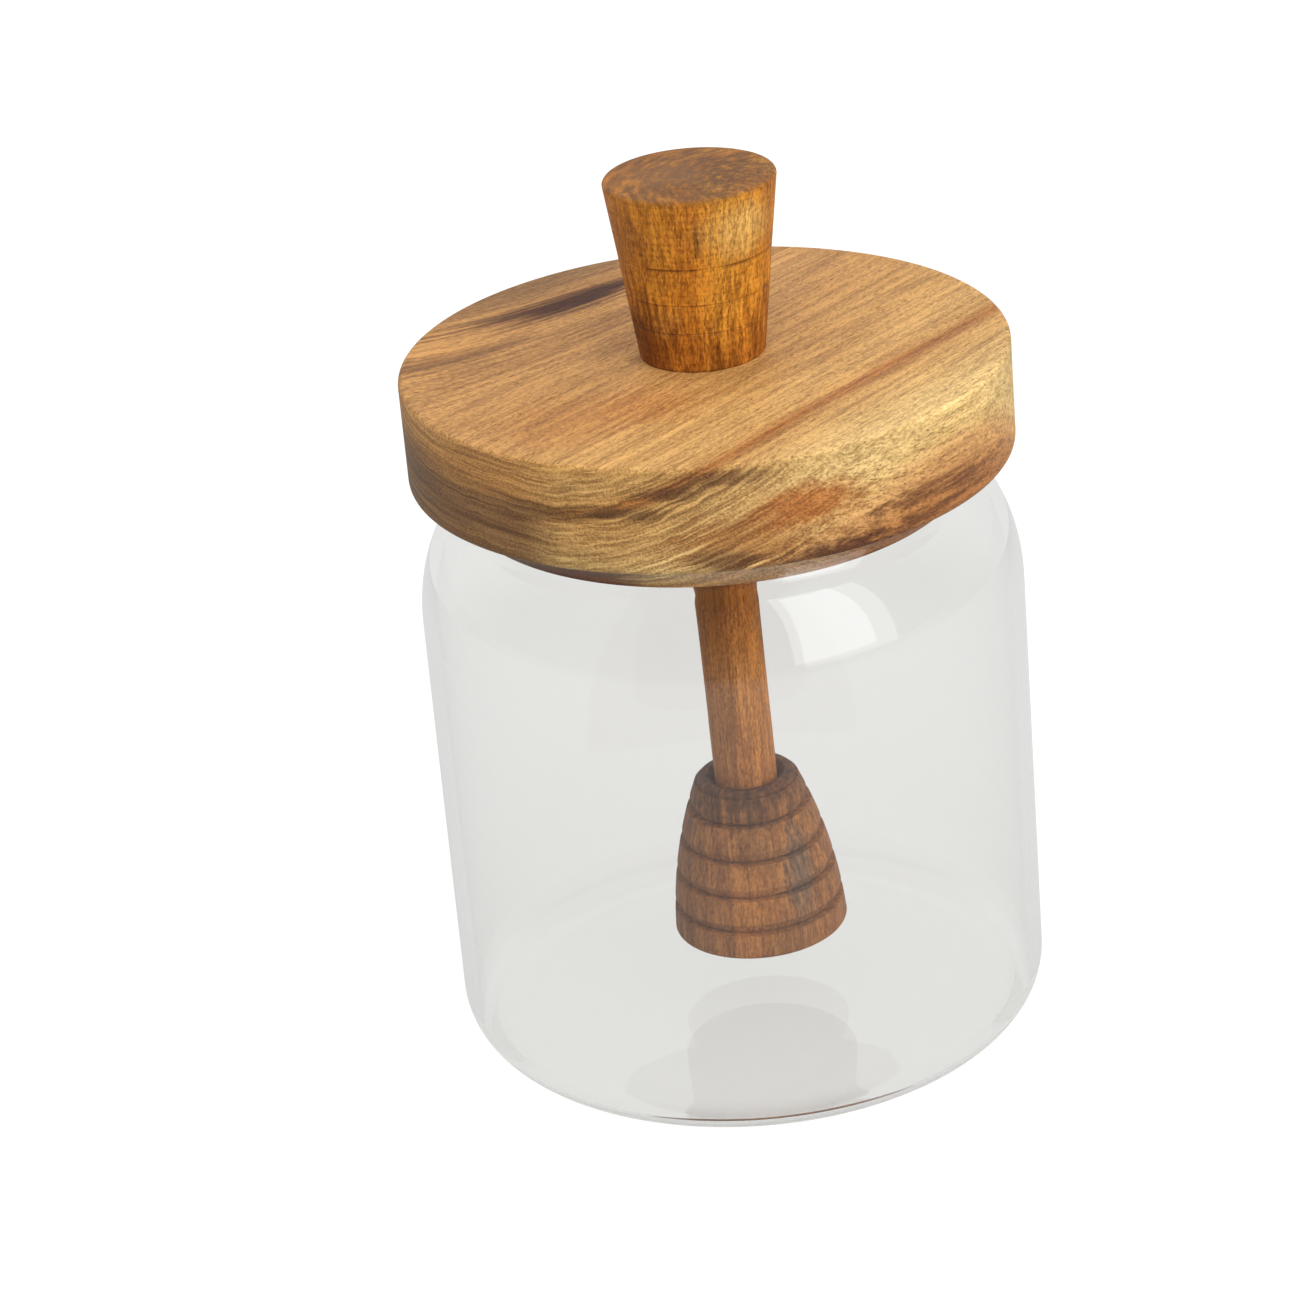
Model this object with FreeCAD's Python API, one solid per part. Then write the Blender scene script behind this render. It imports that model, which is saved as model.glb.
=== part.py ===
import FreeCAD, Part
import math
import os

# A honey jar with its dipper.  A blown glass jar is closed by a turned wooden lid whose
# plug drops into the neck.  A tapered knob stands on the lid, and under it hangs the
# dipper: a dowel rod with a ribbed, bell-shaped head that stops short of the floor.
# Millimetres, +Z up, origin at the centre of the jar's foot.

# Driving dimensions: glass jar
JAR_DIAMETER = 90.0
JAR_HEIGHT = 92.06            # foot to rim
WALL = 2.0
FLOOR = 2.8                   # floor's upper side above the foot
FOOT_RADIUS = 8.2             # outside curve from foot to wall
FOOT_RING_WIDTH = 5.0         # flat ring that the jar stands on
PUSH_UP = 0.8                 # hollow of the underside within that ring
SHOULDER_INSET = 7.2          # wall to neck, on the radius
SHOULDER_HEIGHT = 17.5
SHOULDER_SWEEP = 64.6         # degrees of an ellipse that the shoulder turns through
NECK_HEIGHT = 4.86            # shoulder to rim
NECK_BLEND = 1.5              # hollow curve where the neck leaves the shoulder

# Lid, one piece with its plug
LID_THICKNESS = 16.07
LID_SETBACK = 0.27            # lid's edge inside the jar's wall, on the radius
LID_TOP_ROUND = 0.8
LID_BOTTOM_ROUND = 1.0
PLUG_DEPTH = 6.2
PLUG_CLEARANCE = 0.75         # plug to neck, on the radius
PLUG_ROUND = 0.5

# Knob
KNOB_HEIGHT = 26.87
KNOB_TOP_DIAMETER = 25.3
KNOB_BASE_DIAMETER = 18.4
KNOB_TOP_ROUND = 0.6
KNOB_BASE_ROUND = 0.3

# Dipper rod
ROD_DIAMETER = 9.54
ROD_LEAN = 1.5                # degrees off the jar's axis, towards +X at the bottom
ROD_CHAMFER = 0.5
LID_SOCKET_DEPTH = 14.0       # drilled up into the plug and lid
HEAD_SOCKET_DEPTH = 15.0      # drilled down into the head
SOCKET_CLEARANCE = 0.1        # glue line round the rod, on the radius

# Dipper head
HEAD_LENGTH = 25.44
HEAD_TOP_DIAMETER = 15.2
HEAD_MIDDLE_DIAMETER = 23.3
HEAD_BOTTOM_DIAMETER = 26.6
HEAD_FLOOR_GAP = 11.3         # end of the head to the jar's floor
HEAD_TOP_ROUND = 0.9
HEAD_END_ROUND = 0.5
COUNTERSINK_WIDTH = 1.1       # hollow round the rod where it enters the head
COUNTERSINK_DEPTH = 1.3
GROOVES = 4
TOP_RIB = 4.86                # head's top to the first groove
END_RIB = 4.1                 # last groove to the head's end
GROOVE_WIDTH = 0.5
GROOVE_DEPTH = 1.5
RIB_CHAMFER_HEIGHT = 1.3      # slope that runs into the groove from above
RIB_CHAMFER_DEPTH = 0.8

# Worked out from those
JAR_RADIUS = JAR_DIAMETER / 2
NECK_RADIUS = JAR_RADIUS - SHOULDER_INSET
BORE_RADIUS = NECK_RADIUS - WALL
WALL_TOP = JAR_HEIGHT - NECK_HEIGHT - SHOULDER_HEIGHT
LID_RADIUS = JAR_RADIUS - LID_SETBACK
PLUG_RADIUS = BORE_RADIUS - PLUG_CLEARANCE
PLUG_END = JAR_HEIGHT - PLUG_DEPTH
LID_TOP = JAR_HEIGHT + LID_THICKNESS
ROD_RADIUS = ROD_DIAMETER / 2
SOCKET_RADIUS = ROD_RADIUS + SOCKET_CLEARANCE
STICK_LENGTH = (PLUG_END - FLOOR - HEAD_FLOOR_GAP) / math.cos(math.radians(ROD_LEAN))
HEAD_TOP = -(STICK_LENGTH - HEAD_LENGTH)   # in the stick's own frame
GROOVE_PITCH = (HEAD_LENGTH - TOP_RIB - END_RIB) / (GROOVES - 1)

# The stick's own frame: its origin is where the rod leaves the plug, and it hangs along -Z.
STICK = FreeCAD.Placement(
    FreeCAD.Vector(0, 0, PLUG_END),
    FreeCAD.Rotation(FreeCAD.Vector(0, 1, 0), -ROD_LEAN),
)


def at(radius, height):
    """A point of a half profile, in the XZ plane."""
    return FreeCAD.Vector(radius, 0, height)


def line(start, end):
    return Part.LineSegment(start, end).toShape()


def arc(start, middle, end):
    return Part.Arc(start, middle, end).toShape()


def quarter_point(centre, radius, degrees):
    """A point on a circle in the XZ plane, at this angle above +X."""
    turn = math.radians(degrees)
    return centre + at(radius * math.cos(turn), radius * math.sin(turn))


def ellipse_arc(centre, across, up, degrees):
    """The arc of an ellipse from its widest point up to this angle, as an exact conic."""
    half = math.radians(degrees) / 2
    reach = 1 / math.cos(half)
    poles = [
        centre + at(across, 0),
        centre + at(across * reach * math.cos(half), up * reach * math.sin(half)),
        centre + at(across * math.cos(2 * half), up * math.sin(2 * half)),
    ]
    curve = Part.BSplineCurve()
    curve.buildFromPolesMultsKnots(poles, [3, 3], [0, 1], False, 2, [1, math.cos(half), 1])
    return curve.toShape()


def turned(edges):
    """The solid that these edges of a half profile sweep round the Z axis."""
    wire = Part.Wire(Part.sortEdges(edges)[0])
    solid = Part.Face(wire).revolve(FreeCAD.Vector(0, 0, 0), FreeCAD.Vector(0, 0, 1), 360)
    return solid


def turned_outline(points):
    """The same, from the corners of a closed straight-sided profile."""
    closed = points[1:] + points[:1]
    return turned([line(start, end) for start, end in zip(points, closed)])


def rim(solid, radius, height):
    """The round edges of a turned solid at this radius and height."""
    found = []
    for edge in solid.Edges:
        if edge.Degenerated or not isinstance(edge.Curve, Part.Circle):
            continue
        same_radius = abs(edge.Curve.Radius - radius) < 1e-4
        same_height = abs(edge.Curve.Center.z - height) < 1e-4
        if same_radius and same_height:
            found.append(edge)
    return found


def shoulder_arc(shrink):
    """The shoulder's ellipse, drawn in by this much, up to where it meets the neck."""
    sweep = math.radians(SHOULDER_SWEEP)
    across = SHOULDER_INSET / (1 - math.cos(sweep))
    up = SHOULDER_HEIGHT / math.sin(sweep)
    centre = at(JAR_RADIUS - across, WALL_TOP)
    meets = NECK_RADIUS - shrink - centre.x
    degrees = math.degrees(math.acos(meets / (across - shrink)))
    return ellipse_arc(centre, across - shrink, up - shrink, degrees)


def jar_outside():
    """Edges from the axis under the floor, up the outside, to the foot of the rim."""
    ring_out = JAR_RADIUS - FOOT_RADIUS
    ring_in = ring_out - FOOT_RING_WIDTH
    dome = (ring_in ** 2 + PUSH_UP ** 2) / (2 * PUSH_UP)
    half_way = PUSH_UP - dome + math.sqrt(dome ** 2 - (ring_in / 2) ** 2)
    foot = at(ring_out, FOOT_RADIUS)
    shoulder = shoulder_arc(0)
    return [
        arc(at(0, PUSH_UP), at(ring_in / 2, half_way), at(ring_in, 0)),
        line(at(ring_in, 0), at(ring_out, 0)),
        arc(at(ring_out, 0), quarter_point(foot, FOOT_RADIUS, -45), at(JAR_RADIUS, FOOT_RADIUS)),
        line(at(JAR_RADIUS, FOOT_RADIUS), at(JAR_RADIUS, WALL_TOP)),
        shoulder,
        line(shoulder.Vertexes[-1].Point, at(NECK_RADIUS, JAR_HEIGHT - WALL / 2)),
    ]


def jar_inside():
    """Edges from the rim down the inside to the axis."""
    bend = FOOT_RADIUS - WALL
    inner = JAR_RADIUS - WALL
    foot = at(inner - bend, FLOOR + bend)
    shoulder = shoulder_arc(WALL)
    return [
        line(at(BORE_RADIUS, JAR_HEIGHT - WALL / 2), shoulder.Vertexes[-1].Point),
        shoulder,
        line(at(inner, WALL_TOP), at(inner, FLOOR + bend)),
        arc(at(inner, FLOOR + bend), quarter_point(foot, bend, -45), at(inner - bend, FLOOR)),
        line(at(inner - bend, FLOOR), at(0, FLOOR)),
        line(at(0, FLOOR), at(0, PUSH_UP)),
    ]


def glass_jar():
    """Blown glass: even wall, rounded foot, short neck and a fire-polished rim."""
    rim_edge = arc(
        at(NECK_RADIUS, JAR_HEIGHT - WALL / 2),
        at(NECK_RADIUS - WALL / 2, JAR_HEIGHT),
        at(BORE_RADIUS, JAR_HEIGHT - WALL / 2),
    )
    outside = jar_outside()
    inside = jar_inside()
    jar = turned(outside + [rim_edge] + inside)
    outer_corner = outside[-1].Vertexes[0].Point
    inner_corner = inside[0].Vertexes[-1].Point
    jar = jar.makeFillet(NECK_BLEND, rim(jar, outer_corner.x, outer_corner.z))
    return jar.makeFillet(NECK_BLEND + WALL, rim(jar, inner_corner.x, inner_corner.z))


def lid_disc():
    """The lid and its plug, turned from one board, with the rod's socket drilled in."""
    lid = turned_outline([
        at(0, PLUG_END),
        at(PLUG_RADIUS, PLUG_END),
        at(PLUG_RADIUS, JAR_HEIGHT),
        at(LID_RADIUS, JAR_HEIGHT),
        at(LID_RADIUS, LID_TOP),
        at(0, LID_TOP),
    ])
    lid = lid.makeFillet(LID_TOP_ROUND, rim(lid, LID_RADIUS, LID_TOP))
    lid = lid.makeFillet(LID_BOTTOM_ROUND, rim(lid, LID_RADIUS, JAR_HEIGHT))
    lid = lid.makeFillet(PLUG_ROUND, rim(lid, PLUG_RADIUS, PLUG_END))
    # The drill starts well below the plug, so that the leaning socket has a full mouth.
    start = at(0, -LID_SOCKET_DEPTH)
    socket = Part.makeCylinder(SOCKET_RADIUS, 2 * LID_SOCKET_DEPTH, start)
    socket.Placement = STICK.multiply(socket.Placement)
    return lid.cut(socket)


def knob():
    """The tapered grip, wider at its top, glued to the middle of the lid."""
    base = KNOB_BASE_DIAMETER / 2
    top = KNOB_TOP_DIAMETER / 2
    knob_top = LID_TOP + KNOB_HEIGHT
    grip = turned_outline([at(0, LID_TOP), at(base, LID_TOP), at(top, knob_top), at(0, knob_top)])
    grip = grip.makeFillet(KNOB_TOP_ROUND, rim(grip, top, knob_top))
    return grip.makeFillet(KNOB_BASE_ROUND, rim(grip, base, LID_TOP))


def dipper_rod():
    """A dowel from the end of the lid's socket to the end of the head's."""
    end = HEAD_TOP - HEAD_SOCKET_DEPTH
    rod = Part.makeCylinder(ROD_RADIUS, LID_SOCKET_DEPTH - end, at(0, end))
    ends = rim(rod, ROD_RADIUS, end) + rim(rod, ROD_RADIUS, LID_SOCKET_DEPTH)
    rod = rod.makeChamfer(ROD_CHAMFER, ends)
    rod.Placement = STICK.multiply(rod.Placement)
    return rod


def head_arc():
    """The bell-shaped side of the head, as one arc from its top to its end."""
    return arc(
        at(HEAD_TOP_DIAMETER / 2, HEAD_TOP),
        at(HEAD_MIDDLE_DIAMETER / 2, HEAD_TOP - HEAD_LENGTH / 2),
        at(HEAD_BOTTOM_DIAMETER / 2, HEAD_TOP - HEAD_LENGTH),
    )


def head_radius(below):
    """The side's radius this far below the head's top."""
    circle = head_arc().Curve
    drop = HEAD_TOP - below - circle.Center.z
    return circle.Center.x + math.sqrt(circle.Radius ** 2 - drop ** 2)


def groove(below):
    """The ring cut away by one groove: a flat shelf below, a slot, and a slope above."""
    shelf = HEAD_TOP - below - GROOVE_WIDTH / 2
    slot_top = shelf + GROOVE_WIDTH
    surface = head_radius(below)
    outside = surface + GROOVE_DEPTH
    inner = at(surface - RIB_CHAMFER_DEPTH, slot_top)
    lip = below - GROOVE_WIDTH / 2 - RIB_CHAMFER_HEIGHT
    outer = at(head_radius(lip), HEAD_TOP - lip)
    # The slope runs on past the side, so that the cut breaks cleanly through it.
    beyond = inner + (outer - inner) * 1.5
    return turned_outline([
        at(outside, shelf),
        at(surface - GROOVE_DEPTH, shelf),
        at(surface - GROOVE_DEPTH, slot_top),
        inner,
        beyond,
        at(outside, beyond.z),
    ])


def dipper_head():
    """The turned head: grooves that hold the honey, and a countersunk socket on top."""
    top_radius = HEAD_TOP_DIAMETER / 2
    end_radius = HEAD_BOTTOM_DIAMETER / 2
    head_end = HEAD_TOP - HEAD_LENGTH
    socket_end = HEAD_TOP - HEAD_SOCKET_DEPTH
    head = turned([
        line(at(0, HEAD_TOP), at(top_radius, HEAD_TOP)),
        head_arc(),
        line(at(end_radius, head_end), at(0, head_end)),
        line(at(0, head_end), at(0, HEAD_TOP)),
    ])
    head = head.makeFillet(HEAD_TOP_ROUND, rim(head, top_radius, HEAD_TOP))
    head = head.makeFillet(HEAD_END_ROUND, rim(head, end_radius, head_end))
    for index in range(GROOVES):
        head = head.cut(groove(TOP_RIB + index * GROOVE_PITCH))
    head = head.cut(turned_outline([
        at(0, socket_end),
        at(SOCKET_RADIUS, socket_end),
        at(SOCKET_RADIUS, HEAD_TOP - COUNTERSINK_DEPTH),
        at(SOCKET_RADIUS + COUNTERSINK_WIDTH, HEAD_TOP),
        at(SOCKET_RADIUS + COUNTERSINK_WIDTH, HEAD_TOP + COUNTERSINK_DEPTH),
        at(0, HEAD_TOP + COUNTERSINK_DEPTH),
    ]))
    head.Placement = STICK.multiply(head.Placement)
    return head


PIECES = {
    "glass_jar": glass_jar,
    "lid_disc": lid_disc,
    "knob": knob,
    "dipper_rod": dipper_rod,
    "dipper_head": dipper_head,
}

os.makedirs("parts", exist_ok=True)
for name, make in PIECES.items():
    shape = make()
    box = shape.optimalBoundingBox()
    print(f"{name}: {len(shape.Solids)} solid, valid {shape.isValid()}, {shape.Volume / 1000:.2f} cm3,",
          f"z {box.ZMin:.2f} to {box.ZMax:.2f}, x {box.XMin:.2f} to {box.XMax:.2f}")
    shape.exportStep(f"parts/{name}.step")
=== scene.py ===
import math

import bpy
from mathutils import Matrix, Vector


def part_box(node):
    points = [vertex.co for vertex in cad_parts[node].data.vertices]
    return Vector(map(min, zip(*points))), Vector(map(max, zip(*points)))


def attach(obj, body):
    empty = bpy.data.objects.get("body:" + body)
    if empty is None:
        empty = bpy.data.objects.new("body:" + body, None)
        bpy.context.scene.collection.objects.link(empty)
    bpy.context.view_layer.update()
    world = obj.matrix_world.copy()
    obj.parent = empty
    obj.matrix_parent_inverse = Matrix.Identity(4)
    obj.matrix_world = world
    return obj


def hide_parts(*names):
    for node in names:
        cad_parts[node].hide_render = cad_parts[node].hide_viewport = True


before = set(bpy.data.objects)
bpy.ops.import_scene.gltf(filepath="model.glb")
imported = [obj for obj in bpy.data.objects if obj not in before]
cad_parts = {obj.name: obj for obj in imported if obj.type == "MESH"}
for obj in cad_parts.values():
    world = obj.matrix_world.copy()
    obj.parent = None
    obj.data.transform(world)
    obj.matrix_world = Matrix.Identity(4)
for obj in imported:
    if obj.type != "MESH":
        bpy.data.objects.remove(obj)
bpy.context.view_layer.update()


# The jar is one piece of clear glass, blown in a mould.  Foot and shoulder are round, the
# wall is even, and the short neck ends in a rim that a flame has melted round.
MM = 0.001
jar_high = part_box("glass_jar")[1]
JAR_RADIUS = jar_high.x
JAR_HEIGHT = jar_high.z
GLASS_WALL = 2.0 * MM
GLASS_FLOOR = 2.8 * MM
FOOT_ROUND = 8.2 * MM
FOOT_RING = 5.0 * MM
PUSH_UP = 0.8 * MM
INNER_ROUND = 2.2 * MM
SHOULDER_INSET = 7.2 * MM
SHOULDER_HEIGHT = 17.5 * MM
SHOULDER_SWEEP = 64.6
NECK_HEIGHT = 4.86 * MM
# The hollow curve from shoulder to neck: its reach on the outside, the share of the wall
# that it gains on the inside, and the share of the reach where it leaves the shoulder.
NECK_HOOK = 1.6 * MM
HOOK_GROWTH = 0.7
HOOK_LEAVES = 0.6
HOOK_STEPS = 8
DOME_STEPS = 12
CURVE_STEPS = 24
GLASS_FACES_ROUND = 160
MERGE_WITHIN = 0.002 * MM
GLASS_TINT = (0.970, 0.968, 0.955, 1.0)
GLASS_SHADOW = (0.95, 0.95, 0.94, 1.0)
GLASS_IOR = 1.47


def arc(centre, across, up, start, end, steps):
    """Corners of a half profile along part of an ellipse, between two angles in degrees."""
    corners = []
    for step in range(steps + 1):
        turn = math.radians(start + (end - start) * step / steps)
        radius = centre[0] + across * math.cos(turn)
        height = centre[1] + up * math.sin(turn)
        corners.append((radius, height))
    return corners


def hook(start, corner, end, steps):
    """Corners along the curve that leaves start for corner and then turns to reach end."""
    corners = []
    for step in range(steps + 1):
        share = step / steps
        near = (1 - share) ** 2
        middle = 2 * share * (1 - share)
        far = share ** 2
        radius = near * start[0] + middle * corner[0] + far * end[0]
        height = near * start[1] + middle * corner[1] + far * end[1]
        corners.append((radius, height))
    return corners


def turned(name, profile, faces_round):
    """Spin a half profile of (radius, height) corners into a closed shell round the Z axis."""
    bpy.ops.object.select_all(action="DESELECT")
    bpy.ops.mesh.primitive_plane_add(size=MM)
    piece = bpy.context.object
    piece.name = name
    piece.data.name = name
    bpy.ops.object.mode_set(mode="EDIT")
    bpy.ops.mesh.select_mode(type="VERT")
    bpy.ops.mesh.select_all(action="SELECT")
    bpy.ops.mesh.merge(type="CENTER")
    radius, height = profile[0]
    bpy.ops.transform.translate(value=(radius, 0, height))
    for next_radius, next_height in profile[1:]:
        step = (next_radius - radius, 0, next_height - height)
        bpy.ops.mesh.extrude_region_move(TRANSFORM_OT_translate={"value": step})
        radius = next_radius
        height = next_height
    bpy.ops.mesh.select_all(action="SELECT")
    bpy.ops.mesh.spin(steps=faces_round, angle=math.tau, center=(0, 0, 0), axis=(0, 0, 1))
    bpy.ops.mesh.select_all(action="SELECT")
    bpy.ops.mesh.remove_doubles(threshold=MERGE_WITHIN)
    bpy.ops.mesh.normals_make_consistent(inside=False)
    bpy.ops.object.mode_set(mode="OBJECT")
    return piece


def shoulder(shrink):
    """The shoulder's curve and its turn into the neck, drawn in by the glass's thickness."""
    sweep = math.radians(SHOULDER_SWEEP)
    across = SHOULDER_INSET / (1 - math.cos(sweep))
    up = SHOULDER_HEIGHT / math.sin(sweep)
    centre = (JAR_RADIUS - across, JAR_HEIGHT - NECK_HEIGHT - SHOULDER_HEIGHT)
    neck = JAR_RADIUS - SHOULDER_INSET - shrink
    across = across - shrink
    up = up - shrink
    reach = NECK_HOOK + shrink * HOOK_GROWTH
    leaves_at = neck + reach * HOOK_LEAVES
    leaves = math.degrees(math.acos((leaves_at - centre[0]) / across))
    curve = arc(centre, across, up, 0, leaves, CURVE_STEPS)
    turn = math.radians(leaves)
    slope = up * math.cos(turn) / (-across * math.sin(turn))
    start = curve[-1]
    corner = (neck, start[1] + slope * (neck - start[0]))
    run = math.dist(start, corner)
    return curve[:-1] + hook(start, corner, (neck, corner[1] + run), HOOK_STEPS)


ring_out = JAR_RADIUS - FOOT_ROUND
ring_in = ring_out - FOOT_RING
dome = (ring_in ** 2 + PUSH_UP ** 2) / (2 * PUSH_UP)
dome_turn = math.degrees(math.asin(ring_in / dome))
underside = arc((0, PUSH_UP - dome), dome, dome, 90, 90 - dome_turn, DOME_STEPS)
outside = arc((ring_out, FOOT_ROUND), FOOT_ROUND, FOOT_ROUND, -90, 0, CURVE_STEPS)
outside += shoulder(0)
neck_middle = JAR_RADIUS - SHOULDER_INSET - GLASS_WALL / 2
rim_round = GLASS_WALL / 2
rim = arc((neck_middle, JAR_HEIGHT - rim_round), rim_round, rim_round, 0, 180, CURVE_STEPS)
inner_centre = (JAR_RADIUS - GLASS_WALL - INNER_ROUND, GLASS_FLOOR + INNER_ROUND)
inside = arc(inner_centre, INNER_ROUND, INNER_ROUND, -90, 0, CURVE_STEPS)
inside += shoulder(GLASS_WALL)
jar_profile = underside + outside + rim + inside[::-1] + [(0, GLASS_FLOOR)]
jar = turned("Blown_glass_jar", jar_profile, GLASS_FACES_ROUND)
bpy.ops.object.shade_smooth()


def add(tree, kind, inputs=None, **settings):
    """A new node with its settings, and a value or an incoming link for each named input."""
    made = tree.nodes.new(kind)
    for setting, value in settings.items():
        setattr(made, setting, value)
    for socket, value in (inputs or {}).items():
        if isinstance(value, bpy.types.NodeSocket):
            tree.links.new(value, made.inputs[socket])
        else:
            made.inputs[socket].default_value = value
    return made


def new_material(name):
    """An empty material, with its node tree and its output node."""
    material = bpy.data.materials.new(name)
    material.use_nodes = True
    material.node_tree.nodes.clear()
    output = material.node_tree.nodes.new("ShaderNodeOutputMaterial")
    return material, material.node_tree, output


glass, tree, output = new_material("Clear glass")
body = add(tree, "ShaderNodeBsdfPrincipled", {
    "Base Color": GLASS_TINT,
    "Roughness": 0.0,
    "IOR": GLASS_IOR,
    "Transmission Weight": 1.0,
})
see_through = add(tree, "ShaderNodeBsdfTransparent", {"Color": GLASS_SHADOW})
path = add(tree, "ShaderNodeLightPath")
bounced = add(tree, "ShaderNodeMixShader", {0: path.outputs["Is Diffuse Ray"]})
tree.links.new(body.outputs[0], bounced.inputs[1])
tree.links.new(see_through.outputs[0], bounced.inputs[2])
turned_back = add(tree, "ShaderNodeMixShader", {0: path.outputs["Is Reflection Ray"]})
tree.links.new(bounced.outputs[0], turned_back.inputs[1])
tree.links.new(see_through.outputs[0], turned_back.inputs[2])
shaded = add(tree, "ShaderNodeMixShader", {0: path.outputs["Is Shadow Ray"]})
tree.links.new(turned_back.outputs[0], shaded.inputs[1])
tree.links.new(see_through.outputs[0], shaded.inputs[2])
tree.links.new(shaded.outputs[0], output.inputs["Surface"])
jar.data.materials.append(glass)
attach(jar, "root")
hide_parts("glass_jar")


# The lid is a thick disc of acacia with a shallower plug under it, turned from one board
# whose growth rings run nearly flat.  It is oiled, and the rod's socket is drilled in it.
lid_low, lid_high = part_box("lid_disc")
LID_RADIUS = lid_high.x
LID_TOP = lid_high.z
PLUG_END = lid_low.z
PLUG_RADIUS = 35.05 * MM
LID_TOP_ROUND = 0.8 * MM
LID_BOTTOM_ROUND = 1.0 * MM
PLUG_ROUND = 0.5 * MM
# The socket leans with the stick, in degrees, and its drill starts clear of the plug.
LID_SOCKET = 14.0 * MM
SOCKET_RADIUS = 4.87 * MM
STICK_LEAN = 1.5
DRILL_CLEAR = 2.0 * MM
WOOD_FACES_ROUND = 160
ROD_FACES_ROUND = 96
SMOOTH_ANGLE = 40.0


def choose(piece):
    """Select this piece alone and make it the active one."""
    bpy.ops.object.select_all(action="DESELECT")
    piece.select_set(True)
    bpy.context.view_layer.objects.active = piece


def corner_round(corner, radius, start, steps=6):
    """Corners along a quarter round of a square edge, from this angle a quarter turn on."""
    across = math.cos(math.radians(start + 45))
    up = math.sin(math.radians(start + 45))
    centre = (corner[0] - math.copysign(radius, across), corner[1] - math.copysign(radius, up))
    return arc(centre, radius, radius, start, start + 90, steps)


lid_profile = [(0, PLUG_END)]
lid_profile += corner_round((PLUG_RADIUS, PLUG_END), PLUG_ROUND, -90)
lid_profile += [(PLUG_RADIUS, JAR_HEIGHT)]
lid_profile += corner_round((LID_RADIUS, JAR_HEIGHT), LID_BOTTOM_ROUND, -90)
lid_profile += corner_round((LID_RADIUS, LID_TOP), LID_TOP_ROUND, 0)
lid_profile += [(0, LID_TOP)]
lid = turned("Lid_with_plug", lid_profile, WOOD_FACES_ROUND)
lean = math.radians(STICK_LEAN)
drill_middle = (LID_SOCKET - DRILL_CLEAR) / 2
bpy.ops.object.select_all(action="DESELECT")
bpy.ops.mesh.primitive_cylinder_add(
    vertices=ROD_FACES_ROUND, radius=SOCKET_RADIUS, depth=LID_SOCKET + DRILL_CLEAR,
    location=(-drill_middle * math.sin(lean), 0, PLUG_END + drill_middle * math.cos(lean)),
    rotation=(0, -lean, 0),
)
drill = bpy.context.object
choose(lid)
drilling = lid.modifiers.new("Drilling", "BOOLEAN")
drilling.operation = "DIFFERENCE"
drilling.object = drill
bpy.ops.object.modifier_apply(modifier="Drilling")
bpy.ops.object.mode_set(mode="EDIT")
bpy.ops.mesh.select_all(action="SELECT")
bpy.ops.mesh.remove_doubles(threshold=MERGE_WITHIN)
bpy.ops.object.mode_set(mode="OBJECT")
choose(drill)
bpy.ops.object.delete()
choose(lid)
bpy.ops.object.shade_smooth_by_angle(angle=math.radians(SMOOTH_ANGLE))


def colour(red, green, blue):
    """A linear colour from everyday 0 to 255 values, by the sRGB curve."""
    linear = []
    for part in (red, green, blue):
        share = part / 255
        if share <= 0.04045:
            linear.append(share / 12.92)
        else:
            linear.append(((share + 0.055) / 1.055) ** 2.4)
    return (linear[0], linear[1], linear[2], 1.0)


def math_node(tree, operation, first, second=0.0, third=0.0):
    """The result of one sum, each term of which is a number or another node's output."""
    terms = {0: first, 1: second, 2: third}
    return add(tree, "ShaderNodeMath", terms, operation=operation).outputs[0]


def spread(tree, value, low, high, to_low=0.0, to_high=1.0):
    """A value spread smoothly from one range to another, and held at its ends."""
    return add(tree, "ShaderNodeMapRange", {
        "Value": value,
        "From Min": low,
        "From Max": high,
        "To Min": to_low,
        "To Max": to_high,
    }, interpolation_type="SMOOTHSTEP").outputs[0]


def vector_node(tree, operation, first, second=(0.0, 0.0, 0.0)):
    """The node of one sum with vectors."""
    return add(tree, "ShaderNodeVectorMath", {0: first, 1: second}, operation=operation)


def mix_node(tree, factor, first, second):
    """A number between two others, each of which is a number or another node's output."""
    return add(tree, "ShaderNodeMix", {0: factor, 2: first, 3: second}).outputs[0]


def noise(tree, position, waves, detail=2.0, roughness=0.5):
    """Noise with this many waves a millimetre along each axis of the position."""
    return add(tree, "ShaderNodeTexNoise", {
        "Vector": vector_node(tree, "MULTIPLY", position, waves).outputs[0],
        "Scale": 1.0,
        "Detail": detail,
        "Roughness": roughness,
    }).outputs["Fac"]


def blend(tree, way, factor, first, second):
    """Two colours mixed in one of Blender's ways."""
    made = add(tree, "ShaderNodeMix", {0: factor}, data_type="RGBA", blend_type=way)
    for socket, value in ((made.inputs[6], first), (made.inputs[7], second)):
        if isinstance(value, bpy.types.NodeSocket):
            tree.links.new(value, socket)
        else:
            socket.default_value = value
    return made.outputs[2]


def ramp(tree, value, stops):
    """A colour for each place on a scale, given as (place, colour) pairs in rising order."""
    low = stops[0][0]
    high = stops[-1][0]
    terms = {"Value": value, "From Min": low, "From Max": high}
    share = add(tree, "ShaderNodeMapRange", terms).outputs[0]
    made = add(tree, "ShaderNodeValToRGB", {0: share})
    elements = made.color_ramp.elements
    elements[0].color = stops[0][1]
    elements[1].position = 1.0
    elements[1].color = stops[-1][1]
    for place, tint in stops[1:-1]:
        element = elements.new((place - low) / (high - low))
        element.color = tint
    return made.outputs[0]


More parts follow.
